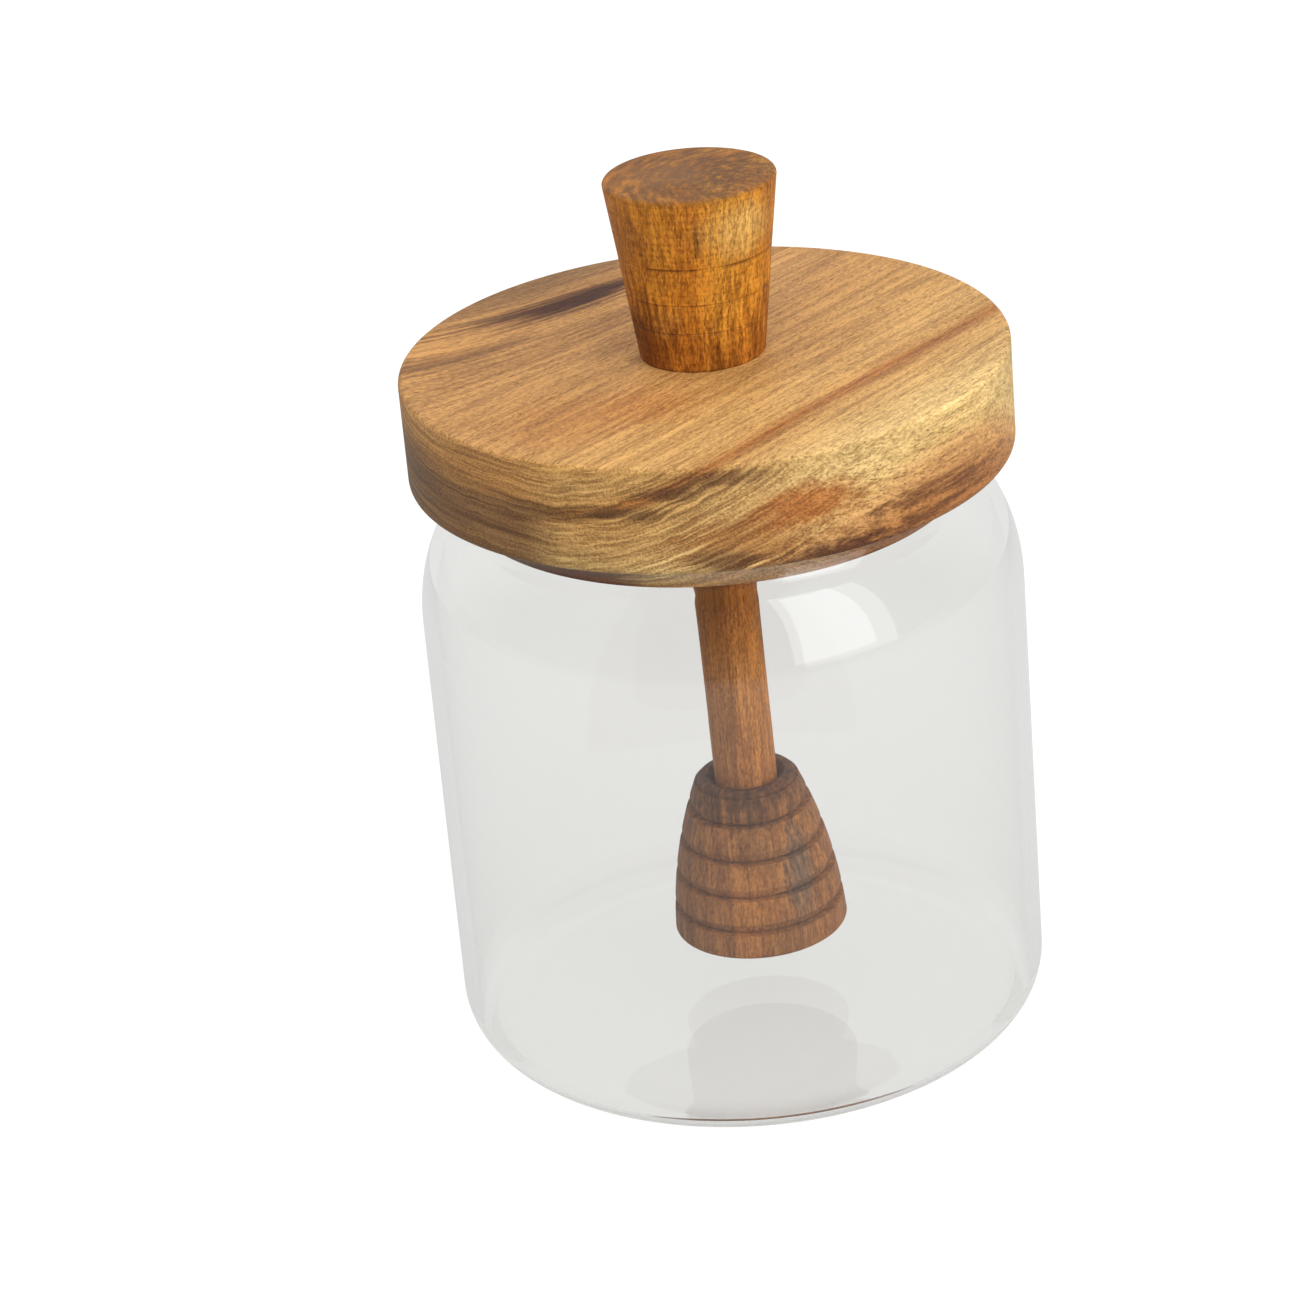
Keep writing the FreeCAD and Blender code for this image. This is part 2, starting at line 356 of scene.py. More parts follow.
def new_group(name, inputs, outputs):
    """An empty node group with these sockets, and its two end nodes."""
    group = bpy.data.node_groups.new(name, "ShaderNodeTree")
    for socket, kind, value in inputs:
        made = group.interface.new_socket(socket, in_out="INPUT", socket_type=kind)
        if value is not None:
            made.default_value = value
    for socket, kind in outputs:
        group.interface.new_socket(socket, in_out="OUTPUT", socket_type=kind)
    start = group.nodes.new("NodeGroupInput")
    end = group.nodes.new("NodeGroupOutput")
    return group, start.outputs, end.inputs


# Grain: position in millimetres, X along the fibres, with the tree's heart on the X axis.
grain_group, given, result = new_group(
    "Wood grain",
    [
        ("Position", "NodeSocketVector", None),
        ("Waviness", "NodeSocketFloat", 1.5),
        ("Fan", "NodeSocketFloat", 0.0),
        ("Far Side", "NodeSocketFloat", 1.0),
        ("Ring Lines", "NodeSocketFloat", 1.4),
        ("End Grain", "NodeSocketFloat", 0.0),
    ],
    [
        ("Position", "NodeSocketVector"),
        ("Radius", "NodeSocketFloat"),
        ("Side", "NodeSocketFloat"),
        ("Rings", "NodeSocketFloat"),
        ("Streaks", "NodeSocketFloat"),
        ("Strokes", "NodeSocketFloat"),
        ("Pores", "NodeSocketFloat"),
        ("Figure", "NodeSocketFloat"),
        ("Height", "NodeSocketFloat"),
    ],
)
RING_ARC = 4.0
RING_RUN = 0.02
# Waves a millimetre, along the fibres and across them.
SLOW_WAVES = (0.012, 0.05, 0.05)
QUICK_WAVES = (0.035, 0.30, 0.30)
FIBRES = (0.07, 1.1, 1.1)
SPECKLES = (1.3, 3.4, 3.4)
PORES = (0.45, 4.2, 4.2)
FIGURE = (0.03, 0.11, 0.11)
# Waves along a ring's length, out from the heart and round it.
RINGS = (1.0, 1.0, 1.0)
CUT_FIBRES = (1.0, 1.1, 1.6)
# The stretch of each noise that is spread over 0 to 1: a narrower one is bolder.
RING_CONTRAST = (0.36, 0.68)
STROKE_CONTRAST = (0.36, 0.64)
PORE_CONTRAST = (0.60, 0.74)
FIGURE_CONTRAST = (0.32, 0.68)
SLOW_SHARE = 3.0
SPECKLE_SHARE = 0.42
END_PORES = 0.25
STROKE_RELIEF = 0.35
STROKE_LEVEL = 0.65
parts = add(grain_group, "ShaderNodeSeparateXYZ", {0: given["Position"]}).outputs

# Fibres that fan out towards one end of the board.
far = math_node(grain_group, "MAXIMUM", parts[1], 0.0)
fanned = math_node(grain_group, "MULTIPLY", far, far)
fanned = math_node(grain_group, "MULTIPLY", fanned, parts[0])
side = math_node(grain_group, "MULTIPLY_ADD", fanned, given["Fan"], parts[1])
place_terms = {"X": parts[0], "Y": side, "Z": parts[2]}
place = add(grain_group, "ShaderNodeCombineXYZ", place_terms).outputs[0]

# Rings round the heart, a little wavy.
slow = noise(grain_group, place, SLOW_WAVES, 2.0)
quick = noise(grain_group, place, QUICK_WAVES, 3.0)
wave = math_node(grain_group, "SUBTRACT", slow, 0.5)
wave = math_node(grain_group, "MULTIPLY", wave, SLOW_SHARE)
quick_wave = math_node(grain_group, "SUBTRACT", quick, 0.5)
wave = math_node(grain_group, "ADD", wave, quick_wave)
wave = math_node(grain_group, "MULTIPLY", wave, given["Waviness"])
far = math_node(grain_group, "MAXIMUM", side, 0.0)
near = math_node(grain_group, "MINIMUM", side, 0.0)
bent = math_node(grain_group, "MULTIPLY_ADD", far, given["Far Side"], near)
side_squared = math_node(grain_group, "MULTIPLY", bent, bent)
radius = math_node(grain_group, "MULTIPLY_ADD", parts[2], parts[2], side_squared)
radius = math_node(grain_group, "SQRT", radius)
radius = math_node(grain_group, "ADD", radius, wave)
beneath = math_node(grain_group, "MULTIPLY", parts[2], -1.0)
angle = math_node(grain_group, "ARCTAN2", bent, beneath)
round_heart = math_node(grain_group, "MULTIPLY", angle, RING_ARC)
along = math_node(grain_group, "MULTIPLY", parts[0], RING_RUN)
out_from_heart = math_node(grain_group, "MULTIPLY", radius, given["Ring Lines"])
ring_terms = {"X": along, "Y": out_from_heart, "Z": round_heart}
ring_place = add(grain_group, "ShaderNodeCombineXYZ", ring_terms).outputs[0]
rings = noise(grain_group, ring_place, RINGS, 3.0, 0.6)
rings = spread(grain_group, rings, *RING_CONTRAST)

# Fibres, pores and figure, where long grain gives way to cut ends.
fibre = noise(grain_group, place, FIBRES, 4.0, 0.62)
cut_across = noise(grain_group, ring_place, CUT_FIBRES, 3.0, 0.60)
streaks = mix_node(grain_group, given["End Grain"], fibre, cut_across)
speckle = noise(grain_group, place, SPECKLES, 1.0)
strokes = mix_node(grain_group, SPECKLE_SHARE, streaks, speckle)
strokes = spread(grain_group, strokes, *STROKE_CONTRAST)
pores = noise(grain_group, place, PORES, 1.5)
pores = spread(grain_group, pores, *PORE_CONTRAST)
long_grain = math_node(grain_group, "MULTIPLY_ADD", given["End Grain"], END_PORES - 1.0, 1.0)
pores = math_node(grain_group, "MULTIPLY", pores, long_grain)
figure = noise(grain_group, place, FIGURE, 2.0)
figure = spread(grain_group, figure, *FIGURE_CONTRAST)
height = math_node(grain_group, "MULTIPLY_ADD", strokes, STROKE_RELIEF, STROKE_LEVEL)
height = math_node(grain_group, "SUBTRACT", height, pores)
for socket, value in (
    ("Position", place), ("Radius", radius), ("Side", side), ("Rings", rings),
    ("Streaks", streaks), ("Strokes", strokes), ("Pores", pores), ("Figure", figure),
    ("Height", height),
):
    grain_group.links.new(value, result[socket])

# Tone: fibres, rings and pores laid over a wood's own colour.
tone_group, given, result = new_group(
    "Wood tone",
    [
        ("Color", "NodeSocketColor", None),
        ("Rings", "NodeSocketFloat", 0.0),
        ("Strokes", "NodeSocketFloat", 0.5),
        ("Pores", "NodeSocketFloat", 0.0),
        ("Figure", "NodeSocketFloat", 0.5),
        ("Ring Strength", "NodeSocketFloat", 0.3),
        ("Stroke Strength", "NodeSocketFloat", 0.5),
        ("Pore Strength", "NodeSocketFloat", 0.6),
        ("Figure Strength", "NodeSocketFloat", 0.3),
    ],
    [("Color", "NodeSocketColor"), ("Roughness", "NodeSocketFloat")],
)
FIBRE_DARK = (0.58, 0.51, 0.44, 1.0)
FIBRE_PALE = (1.40, 1.44, 1.46, 1.0)
RING_DARK = (0.62, 0.57, 0.52, 1.0)
RING_PALE = (1.16, 1.17, 1.16, 1.0)
PORE_DARK = (0.46, 0.37, 0.30, 1.0)
FIGURE_DARK = (0.80, 0.76, 0.72, 1.0)
FIGURE_PALE = (1.14, 1.16, 1.16, 1.0)
NO_CHANGE = (1.0, 1.0, 1.0, 1.0)
WOOD_ROUGHNESS = 0.55
PORE_ROUGHNESS = 0.15
STROKE_ROUGHNESS = 0.08
fibre_tint = blend(tone_group, "MIX", given["Strokes"], FIBRE_DARK, FIBRE_PALE)
shade = blend(tone_group, "MULTIPLY", given["Stroke Strength"], given["Color"], fibre_tint)
figure_tint = blend(tone_group, "MIX", given["Figure"], FIGURE_DARK, FIGURE_PALE)
shade = blend(tone_group, "MULTIPLY", given["Figure Strength"], shade, figure_tint)
ring_tint = blend(tone_group, "MIX", given["Rings"], RING_PALE, RING_DARK)
shade = blend(tone_group, "MULTIPLY", given["Ring Strength"], shade, ring_tint)
pore_tint = blend(tone_group, "MIX", given["Pores"], NO_CHANGE, PORE_DARK)
shade = blend(tone_group, "MULTIPLY", given["Pore Strength"], shade, pore_tint)
tone_group.links.new(shade, result["Color"])
rough = math_node(tone_group, "MULTIPLY_ADD", given["Pores"], PORE_ROUGHNESS, WOOD_ROUGHNESS)
rough = math_node(tone_group, "MULTIPLY_ADD", given["Strokes"], STROKE_ROUGHNESS, rough)
tone_group.links.new(rough, result["Roughness"])


# Stain and painted light: a ragged patch of another colour, as heartwood, resin and torn
# fibres leave, and on some pieces patches of painted light and painted shade.
stain_and_light_group, given, result = new_group(
    "Wood stain and painted light",
    [
        ("Position", "NodeSocketVector", None),
        ("Centre", "NodeSocketVector", None),
        ("Size", "NodeSocketVector", (1.0, 1.0, 1.0)),
        ("Ragged", "NodeSocketFloat", 0.6),
        ("Streaks", "NodeSocketFloat", 0.5),
    ],
    [("Mask", "NodeSocketFloat")],
)
TEAR_SPAN = 3.0
STAIN_AND_LIGHT_CORE = 0.30
STAIN_AND_LIGHT_RIM = 1.20
offset = vector_node(stain_and_light_group, "SUBTRACT", given["Position"], given["Centre"]).outputs[0]
offset = vector_node(stain_and_light_group, "DIVIDE", offset, given["Size"]).outputs[0]
reach = vector_node(stain_and_light_group, "LENGTH", offset).outputs["Value"]
tear = math_node(stain_and_light_group, "MULTIPLY_ADD", given["Streaks"], TEAR_SPAN, -TEAR_SPAN / 2)
reach = math_node(stain_and_light_group, "MULTIPLY_ADD", tear, given["Ragged"], reach)
mask = spread(stain_and_light_group, reach, STAIN_AND_LIGHT_CORE, STAIN_AND_LIGHT_RIM, 1.0, 0.0)
stain_and_light_group.links.new(mask, result["Mask"])


def board_position(tree, turn, shift):
    """Object coordinates in millimetres, turned and moved into a board's own frame."""
    here = add(tree, "ShaderNodeTexCoord").outputs["Object"]
    return add(tree, "ShaderNodeMapping", {
        "Vector": here,
        "Location": shift,
        "Rotation": [math.radians(angle) for angle in turn],
        "Scale": (1 / MM, 1 / MM, 1 / MM),
    }).outputs[0]


def group_node(tree, group, inputs):
    """The outputs of a node group, given a value or an incoming link for each named input."""
    made = add(tree, "ShaderNodeGroup", node_tree=group)
    for socket, value in inputs.items():
        if isinstance(value, bpy.types.NodeSocket):
            tree.links.new(value, made.inputs[socket])
        else:
            made.inputs[socket].default_value = value
    return made.outputs


def stained_and_lit(tree, here, grain, base, stains_and_light):
    """The base colour with a piece's stains and painted light and shade laid over it in turn.
    """
    for centre, size, ragged, strength, tint in stains_and_light:
        mask = group_node(tree, stain_and_light_group, {
            "Position": here,
            "Centre": centre,
            "Size": size,
            "Ragged": ragged,
            "Streaks": grain["Streaks"],
        })["Mask"]
        amount = math_node(tree, "MULTIPLY", mask, strength)
        base = blend(tree, "MIX", amount, base, tint)
    return base


OILED_SHINE = 0.3


def finish_wood(tree, output, base, grain, strengths, relief):
    """The wood's tone, gloss and relief, ending in the surface itself."""
    values = {socket: grain[socket] for socket in ("Rings", "Strokes", "Pores", "Figure")}
    values["Color"] = base
    values.update(strengths)
    tone = group_node(tree, tone_group, values)
    bump = add(tree, "ShaderNodeBump", {
        "Height": grain["Height"],
        "Distance": relief,
        "Strength": 1.0,
    })
    surface = add(tree, "ShaderNodeBsdfPrincipled", {
        "Base Color": tone["Color"],
        "Roughness": tone["Roughness"],
        "Normal": bump.outputs[0],
        "Specular IOR Level": OILED_SHINE,
    })
    tree.links.new(surface.outputs[0], output.inputs["Surface"])


# The board: how its fibres turn from X, and where its heart lies, in millimetres.
LID_GRAIN_TURN = -50.0
LID_HEART = (0.0, 5.9, -137.9)
UNTURNED = (0, 0, 0)
UNMOVED = (0, 0, 0)
HEART_BLUR = 5.0
LID_FAN = 0.00022
END_GRAIN_STARTS = 14.0
END_GRAIN_FULL = 36.0
TOP_EDGE = (107.4, 108.0)
LID_RELIEF = 0.14 * MM
# The board's colours by distance from its heart, on either side of it.
RIGHT_OF_HEART = [
    (28.5, colour(196, 146, 84)), (31.5, colour(200, 152, 90)), (34.5, colour(206, 160, 98)),
    (36.4, colour(204, 154, 90)), (37.3, colour(170, 108, 54)), (38.1, colour(174, 122, 68)),
    (39.0, colour(202, 154, 92)), (41, colour(204, 160, 98)), (43.5, colour(212, 172, 110)),
    (46, colour(218, 182, 120)), (49, colour(234, 198, 132)), (51, colour(234, 196, 128)),
    (53, colour(216, 164, 104)), (55, colour(198, 142, 86)), (57, colour(184, 124, 70)),
    (60, colour(160, 104, 60)),
]
LEFT_OF_HEART = [
    (28.5, colour(196, 145, 84)), (31.5, colour(194, 143, 84)), (34, colour(200, 146, 84)),
    (36, colour(188, 136, 78)), (38.5, colour(156, 114, 70)), (41, colour(142, 104, 64)),
    (44, colour(154, 114, 70)), (47, colour(138, 100, 60)), (52, colour(124, 90, 54)),
]
# Patches: where, how large (both in millimetres), raggedness, strength and colour.  The
# lid's are placed on the object, and the board's on the board's own frame.
LID_STAINS_AND_PAINTED_LIGHT = [
    ((-9.0, -20.5, 108.1), (9.0, 8.0, 4.0), 0.6, 0.45, colour(188, 116, 54)),
    ((-20.0, -24.0, 108.1), (13.0, 12.0, 4.0), 0.5, 0.45, colour(182, 120, 56)),
    ((-14.0, -42.5, 96.5), (12.0, 9.0, 6.0), 0.5, 0.35, colour(194, 140, 78)),
    ((4.0, -44.5, 96.6), (13.0, 9.0, 5.0), 0.5, 0.80, colour(170, 108, 52)),
    ((13.0, -43.2, 100.6), (11.0, 8.0, 4.0), 0.4, 0.95, colour(182, 113, 56)),
    ((1.0, -44.8, 94.0), (5.5, 5.0, 2.4), 0.5, 0.70, colour(96, 60, 40)),
    ((18.0, -41.3, 92.6), (15.0, 8.0, 2.4), 0.6, 0.90, colour(92, 54, 34)),
    ((30.0, -33.0, 97.0), (12.0, 11.0, 1.4), 0.9, 0.65, colour(112, 66, 38)),
    ((36.0, -26.5, 96.2), (10.0, 11.0, 1.0), 0.9, 0.60, colour(104, 64, 40)),
    ((30.0, -33.0, 94.0), (11.0, 11.0, 1.0), 0.9, 0.60, colour(100, 60, 36)),
    ((-26.0, -36.5, 100.6), (14.0, 10.0, 1.4), 0.6, 0.60, colour(100, 74, 46)),
    ((-14.0, -42.6, 101.4), (9.0, 6.0, 1.4), 0.6, 0.65, colour(92, 66, 42)),
    ((-6.5, -44.3, 104.4), (7.0, 5.0, 1.5), 0.6, 0.75, colour(92, 60, 38)),
    ((1.0, -44.8, 106.2), (8.0, 5.0, 1.5), 0.6, 0.75, colour(104, 68, 42)),
    ((-20.0, -40.0, 107.6), (22.0, 7.0, 1.2), 0.7, 0.3, colour(212, 160, 88)),
    # Painted light: a pale patch that brightens the front of the plug, seen through the glass.
    ((6.0, -34.0, 89.0), (16.0, 9.0, 4.0), 0.5, 0.95, colour(222, 178, 130)),
    # Painted shade: a darker patch on the lid's left side, where shade falls.
    ((-44.0, -10.0, 99.0), (9.0, 17.0, 9.0), 0.5, 0.55, colour(114, 84, 52)),
    ((-19.0, -29.5, 87.0), (13.0, 10.0, 4.0), 0.4, 0.9, colour(122, 62, 4)),
]
BOARD_STAINS = [
    ((7.5, 38.9, -29.8), (19.0, 5.2, 4.0), 0.4, 1.0, colour(80, 36, 4)),
    ((-20.0, 31.3, -29.8), (13.0, 2.6, 4.0), 0.6, 0.55, colour(112, 70, 38)),
    ((-26.0, 39.5, -29.8), (15.0, 2.4, 4.0), 0.6, 0.60, colour(120, 72, 36)),
    ((-6.0, 25.0, -29.8), (30.0, 3.0, 4.0), 0.6, 0.25, colour(140, 92, 50)),
]
lid_wood, tree, output = new_material("Acacia board")
here = board_position(tree, UNTURNED, UNMOVED)
place = board_position(tree, (0, 0, LID_GRAIN_TURN), LID_HEART)
board = add(tree, "ShaderNodeSeparateXYZ", {0: place}).outputs
from_middle = math_node(tree, "ABSOLUTE", board[0])
end_grain = spread(tree, from_middle, END_GRAIN_STARTS, END_GRAIN_FULL)
height = add(tree, "ShaderNodeSeparateXYZ", {0: here}).outputs[2]
below_top = spread(tree, height, *TOP_EDGE, 1.0, 0.0)
end_grain = math_node(tree, "MULTIPLY", end_grain, below_top)
grain = group_node(tree, grain_group, {
    "Position": place,
    "Waviness": 1.0,
    "Fan": LID_FAN,
    "Far Side": 0.5,
    "Ring Lines": 2.0,
    "End Grain": end_grain,
})
right = ramp(tree, grain["Radius"], RIGHT_OF_HEART)
left = ramp(tree, grain["Radius"], LEFT_OF_HEART)
to_left = spread(tree, grain["Side"], -HEART_BLUR, HEART_BLUR)
base = blend(tree, "MIX", to_left, right, left)
base = stained_and_lit(tree, here, grain, base, LID_STAINS_AND_PAINTED_LIGHT)
base = stained_and_lit(tree, grain["Position"], grain, base, BOARD_STAINS)
finish_wood(tree, output, base, grain, {
    "Ring Strength": math_node(tree, "MULTIPLY_ADD", end_grain, 0.35, 0.3),
    "Stroke Strength": math_node(tree, "MULTIPLY_ADD", end_grain, 0.15, 0.7),
    "Pore Strength": 0.55,
    "Figure Strength": 0.3,
}, LID_RELIEF)
lid.data.materials.append(lid_wood)
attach(lid, "root")
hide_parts("lid_disc")


# The knob is a tapered grip turned from a darker stick of the same wood, its fibres upright
# and its end grain on top.  It stands on the lid, held by glue.
knob_low, knob_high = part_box("knob")
KNOB_TOP_RADIUS = knob_high.x
KNOB_BASE_RADIUS = 9.2 * MM
KNOB_TOP_ROUND = 0.6 * MM
KNOB_BASE_ROUND = 0.3 * MM
SCORE_DEPTH = 0.08 * MM
SCORE_WIDTH = 0.14 * MM
SCORES = (114.2 * MM, 118.7 * MM, 124.4 * MM)
KNOB_SMOOTH_ANGLE = 20.0
knob_rise = knob_high.z - knob_low.z


def knob_side(height):
    """The knob's radius at this height."""
    share = (height - knob_low.z) / knob_rise
    return KNOB_BASE_RADIUS + (KNOB_TOP_RADIUS - KNOB_BASE_RADIUS) * share


knob_profile = [(0, knob_low.z)]
knob_profile += corner_round((KNOB_BASE_RADIUS, knob_low.z), KNOB_BASE_ROUND, -90)
for score in SCORES:
    knob_profile += [
        (knob_side(score - SCORE_WIDTH), score - SCORE_WIDTH),
        (knob_side(score) - SCORE_DEPTH, score),
        (knob_side(score + SCORE_WIDTH), score + SCORE_WIDTH),
    ]
knob_profile += corner_round((KNOB_TOP_RADIUS, knob_high.z), KNOB_TOP_ROUND, 0)
knob_profile += [(0, knob_high.z)]
knob = turned("Lid_knob", knob_profile, WOOD_FACES_ROUND)
bpy.ops.object.shade_smooth_by_angle(angle=math.radians(KNOB_SMOOTH_ANGLE))
TURNING_DARK = (0.72, 0.64, 0.54, 1.0)
TURNING_MARKS = (0.06, 0.06, 2.6)
TURNING_LEAST = 0.2
TURNING_SPAN = 0.5
WEAR = (0.22, 0.22, 0.22)
WEAR_CONTRAST = (0.36, 0.56)
SCORE_DARK = (0.34, 0.24, 0.16, 1.0)
SCORE_STRENGTHS = (0.4, 0.5, 0.8)
SCORE_BLUR = (0.08, 0.26)
KNOB_HEART = (0, 6, 12)
KNOB_TOP_EDGE = (134.3, 134.8)
KNOB_RELIEF = 0.12 * MM
FIBRES_UPRIGHT = (0, 90, 0)
KNOB_COLOURS = [
    (0, colour(188, 118, 36)), (5, colour(222, 150, 50)), (10, colour(232, 164, 60)),
    (14, colour(206, 132, 42)), (18, colour(222, 150, 50)), (24, colour(204, 130, 44)),
    (32, colour(176, 104, 36)),
]
KNOB_STAINS_AND_PAINTED_LIGHT = [
    # Painted light: a pale golden patch high on the knob's right front, where the light falls.
    ((7.0, -9.5, 129.5), (7.0, 6.0, 5.0), 0.5, 0.7, colour(238, 196, 116)),
    ((-5.0, -8.0, 115.8), (3.6, 4.0, 3.0), 0.6, 0.5, colour(206, 150, 76)),
    # Painted shade: a dark patch low on the knob's left, down to where it meets the lid.
    ((-8.5, -5.0, 111.0), (7.5, 8.0, 9.0), 0.5, 0.85, colour(104, 54, 12)),
    # Painted shade: a darker patch high on the knob's left side, away from the light.
    ((-9.0, -7.0, 128.0), (5.0, 6.0, 5.0), 0.6, 0.5, colour(158, 100, 40)),
    ((3.0, 0.0, 108.0), (18.0, 18.0, 13.0), 0.4, 0.85, colour(148, 82, 24)),
    ((0.2, -11.9, 128.2), (0.4, 2.5, 2.8), 0.5, 0.6, colour(92, 50, 18)),
    ((0.0, 0.0, 135.6), (26.0, 26.0, 1.4), 0.3, 1.0, colour(124, 82, 40)),
    ((-3.0, 0.0, 135.2), (6.0, 5.0, 1.4), 0.5, 0.4, colour(160, 114, 72)),
]
knob_wood, tree, output = new_material("Acacia knob")
here = board_position(tree, UNTURNED, UNMOVED)
place = board_position(tree, FIBRES_UPRIGHT, KNOB_HEART)
height = add(tree, "ShaderNodeSeparateXYZ", {0: here}).outputs[2]
end_grain = spread(tree, height, *KNOB_TOP_EDGE)
grain = group_node(tree, grain_group, {
    "Position": place,
    "Waviness": 0.6,
    "Ring Lines": 0.9,
    "End Grain": end_grain,
})
base = ramp(tree, grain["Radius"], KNOB_COLOURS)
base = stained_and_lit(tree, here, grain, base, KNOB_STAINS_AND_PAINTED_LIGHT)
turning = noise(tree, here, TURNING_MARKS, 2.0, 0.6)
turning = spread(tree, turning, *STROKE_CONTRAST)
turning = math_node(tree, "MULTIPLY_ADD", turning, TURNING_SPAN, TURNING_LEAST)
base = blend(tree, "MULTIPLY", turning, base, TURNING_DARK)
worn = noise(tree, here, WEAR, 2.0)
worn = spread(tree, worn, *WEAR_CONTRAST)
for score, strength in zip(SCORES, SCORE_STRENGTHS):
    away = math_node(tree, "SUBTRACT", height, score / MM)
    away = math_node(tree, "ABSOLUTE", away)
    line = spread(tree, away, *SCORE_BLUR, strength, 0.0)
    line = math_node(tree, "MULTIPLY", line, worn)
    base = blend(tree, "MULTIPLY", line, base, SCORE_DARK)
finish_wood(tree, output, base, grain, {
    "Ring Strength": math_node(tree, "MULTIPLY_ADD", end_grain, -0.2, 0.35),
    "Stroke Strength": math_node(tree, "MULTIPLY_ADD", end_grain, -0.45, 0.9),
    "Pore Strength": 0.5,
    "Figure Strength": 0.4,
}, KNOB_RELIEF)
knob.data.materials.append(knob_wood)
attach(knob, "root")
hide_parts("knob")


# The rod is a dowel glued into the socket under the lid.  It leans a little in that
# socket, and everything on it leans with it.
GLUE = 0.1 * MM
ROD_RADIUS = SOCKET_RADIUS - GLUE
ROD_CHAMFER = 0.5 * MM
HEAD_SOCKET = 15.0 * MM
HEAD_LENGTH = 25.44 * MM
HEAD_FLOOR_GAP = 11.3 * MM
stick_reach = PLUG_END - GLASS_FLOOR - HEAD_FLOOR_GAP
STICK_LENGTH = stick_reach / math.cos(lean)
HEAD_TOP = HEAD_LENGTH - STICK_LENGTH


def hang(piece):
    """Lean a piece with the stick and hang it from the middle of the plug."""
    choose(piece)
    piece.rotation_euler = (0, -lean, 0)
    piece.location = (0, 0, PLUG_END)
    bpy.ops.object.transform_apply(location=True, rotation=True, scale=True)


rod_end = HEAD_TOP - HEAD_SOCKET
rod_profile = [
    (0, rod_end),
    (ROD_RADIUS - ROD_CHAMFER, rod_end),
    (ROD_RADIUS, rod_end + ROD_CHAMFER),
    (ROD_RADIUS, LID_SOCKET - ROD_CHAMFER),
    (ROD_RADIUS - ROD_CHAMFER, LID_SOCKET),
    (0, LID_SOCKET),
]
rod = turned("Dipper_rod", rod_profile, ROD_FACES_ROUND)
bpy.ops.object.shade_smooth_by_angle(angle=math.radians(SMOOTH_ANGLE))
hang(rod)
ROD_HEART = (0, 6, 8)
ROD_RELIEF = 0.10 * MM
ROD_COLOURS = [
    (0, colour(172, 100, 40)), (6, colour(178, 104, 42)), (9.5, colour(120, 64, 20)),
    (11.5, colour(160, 94, 36)), (15, colour(184, 114, 50)), (22, colour(150, 86, 32)),
]
ROD_STAINS = [
    ((1.0, 0.0, 50.0), (14.0, 14.0, 24.0), 0.3, 0.75, colour(210, 140, 70)),
]
rod_wood, tree, output = new_material("Acacia rod")
here = board_position(tree, UNTURNED, UNMOVED)
place = board_position(tree, FIBRES_UPRIGHT, ROD_HEART)
grain = group_node(tree, grain_group, {"Position": place, "Waviness": 1.0, "Ring Lines": 1.8})
base = ramp(tree, grain["Radius"], ROD_COLOURS)
base = stained_and_lit(tree, here, grain, base, ROD_STAINS)
finish_wood(tree, output, base, grain, {
    "Ring Strength": 0.6, "Stroke Strength": 0.8, "Pore Strength": 0.6, "Figure Strength": 0.5,
}, ROD_RELIEF)
rod.data.materials.append(rod_wood)
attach(rod, "root")
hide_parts("dipper_rod")


# The head is a turned bell with four grooves that hold the honey, drilled at its top for
# the rod, with a shallow countersink round it.
HEAD_TOP_RADIUS = 7.6 * MM
HEAD_MIDDLE_RADIUS = 11.65 * MM
HEAD_BOTTOM_RADIUS = 13.3 * MM
HEAD_TOP_ROUND = 0.9 * MM
HEAD_END_ROUND = 0.5 * MM
COUNTERSINK_WIDTH = 1.1 * MM
COUNTERSINK_DEPTH = 1.3 * MM
GROOVES = 4
TOP_RIB = 4.86 * MM
END_RIB = 4.1 * MM
GROOVE_WIDTH = 0.5 * MM
GROOVE_DEPTH = 1.5 * MM
RIB_SLOPE_HEIGHT = 1.3 * MM
RIB_SLOPE_DEPTH = 0.8 * MM
RIB_STEPS = 6
HEAD_SMOOTH_ANGLE = 30.0
groove_pitch = (HEAD_LENGTH - TOP_RIB - END_RIB) / (GROOVES - 1)


def head_radius(below):
    """The bell's radius this far below its top, on a circle through three points."""
    half = HEAD_LENGTH / 2
    first = HEAD_MIDDLE_RADIUS - HEAD_TOP_RADIUS
    second = HEAD_BOTTOM_RADIUS - HEAD_MIDDLE_RADIUS
    top_square = first * (HEAD_TOP_RADIUS + HEAD_MIDDLE_RADIUS) + half ** 2
    end_square = second * (HEAD_MIDDLE_RADIUS + HEAD_BOTTOM_RADIUS)
    end_square += HEAD_LENGTH ** 2 - half ** 2
    centre_radius = (top_square - end_square) / (2 * (first - second))
    centre_below = (top_square - 2 * centre_radius * first) / (2 * half)
    bell = math.hypot(HEAD_TOP_RADIUS - centre_radius, centre_below)
    return centre_radius + math.sqrt(bell ** 2 - (below - centre_below) ** 2)


def bell_run(start, end, steps):
    """Corners down the bell's side, from one depth below its top to another."""
    corners = []
    for step in range(steps + 1):
        below = start + (end - start) * step / steps
        corners.append((head_radius(below), HEAD_TOP - below))
    return corners


